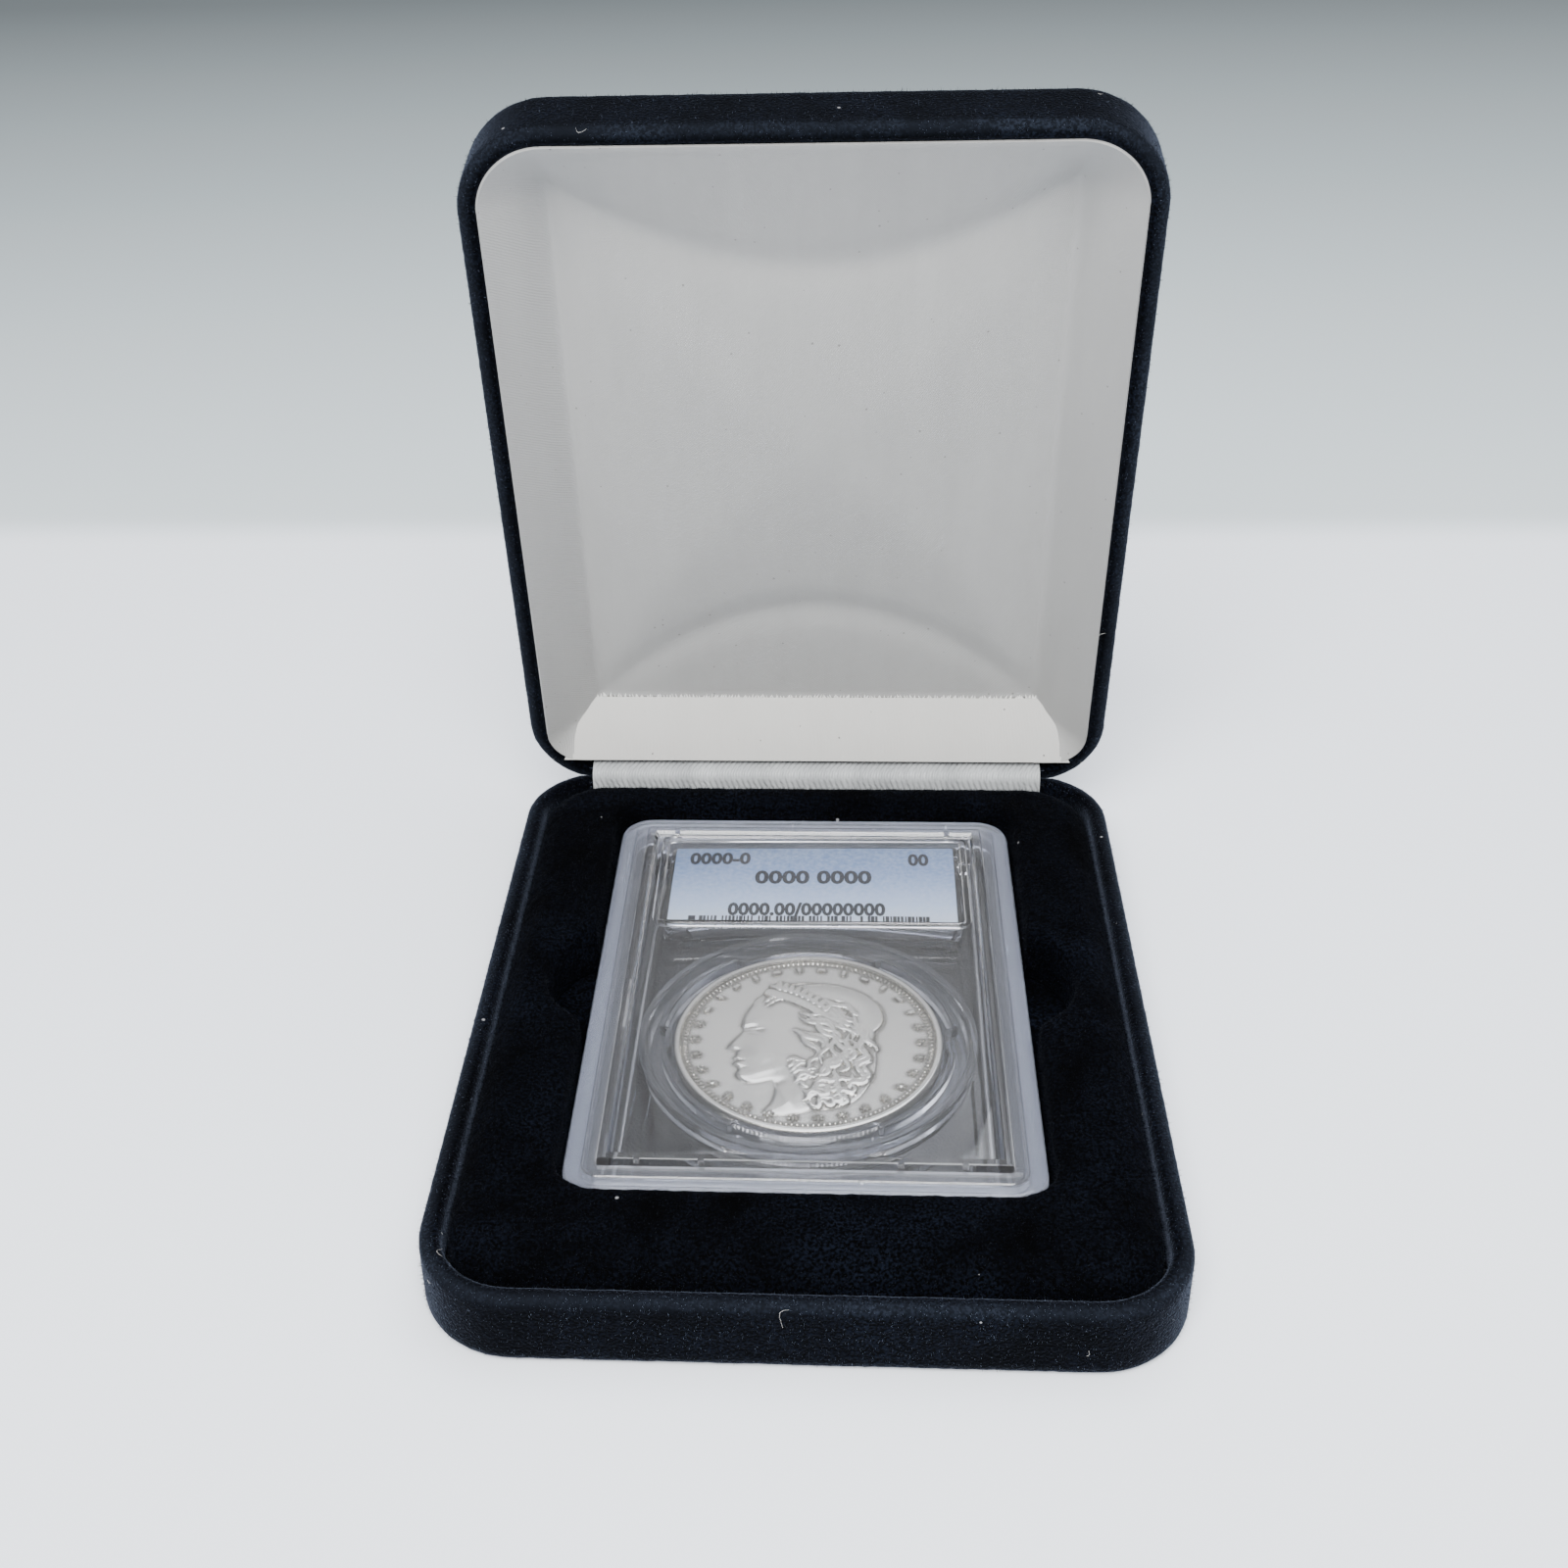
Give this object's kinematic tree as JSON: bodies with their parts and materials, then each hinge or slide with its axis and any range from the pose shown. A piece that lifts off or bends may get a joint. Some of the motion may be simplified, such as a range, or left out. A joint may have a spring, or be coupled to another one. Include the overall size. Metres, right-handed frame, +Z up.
{
  "type": "graded coin slab",
  "caption": "Clear graded coin slab with its coin, ring and label, bedded in a hinged velvet presentation case with a satin-lined lid.",
  "frame": {"origin": "centre of the case's underside, on the surface that it rests on", "axes": "+Z up out of the base, +Y towards the hinge, +X to the right when the opening lid faces the user"},
  "size_m": [0.0954, 0.1284, 0.1274],
  "materials": {
    "velvet": "near-black velvet with a navy cast",
    "shell_plastic": "plain black moulded plastic, hidden under the velvet",
    "board": "grey board",
    "foam": "charcoal foam",
    "satin": "pearl off-white satin",
    "steel": "plated spring steel",
    "clear_plastic": "clear moulded polystyrene with a cool tint",
    "silver": "bright satin coin silver",
    "label_paper": "printed paper, pale blue to white",
    "foil": "plain embossed foil"
  },
  "bodies": {
    "base": {"base_velvet_cover": "velvet", "base_shell": "shell_plastic", "insert_board": "board", "insert_foam": "foam", "insert_velvet": "velvet", "recess_floor": "velvet", "hinge_leaf_base": "steel", "hinge_pin": "steel", "hinge_rivet_base_left": "steel", "hinge_rivet_base_right": "steel", "snap_spring": "steel", "hinge_ribbon": "satin"},
    "lid": {"lid_velvet_cover": "velvet", "lid_shell": "shell_plastic", "lining_board": "board", "lining_pad": "satin", "lining_wall_hinge": "satin", "lining_wall_front": "satin", "lining_wall_left": "satin", "lining_wall_right": "satin", "hinge_leaf_lid": "steel", "hinge_rivet_lid_left": "steel", "hinge_rivet_lid_right": "steel"},
    "slab": {"slab_back_shell": "clear_plastic", "slab_front_shell": "clear_plastic", "coin_ring": "clear_plastic", "coin": "silver", "grade_label": "label_paper", "back_sticker": "foil"}
  },
  "joints": [
    {"name": "lid_hinge", "type": "hinge", "parent": "base", "child": "lid", "pos_m": [0, 0.0575, 0.011], "axis": [1, 0, 0], "range_deg": [0, 78]},
    {"name": "slab_lift", "type": "slide", "parent": "base", "child": "slab", "axis": [0, 0, 1], "range_m": [0, 0.004]}
  ]
}
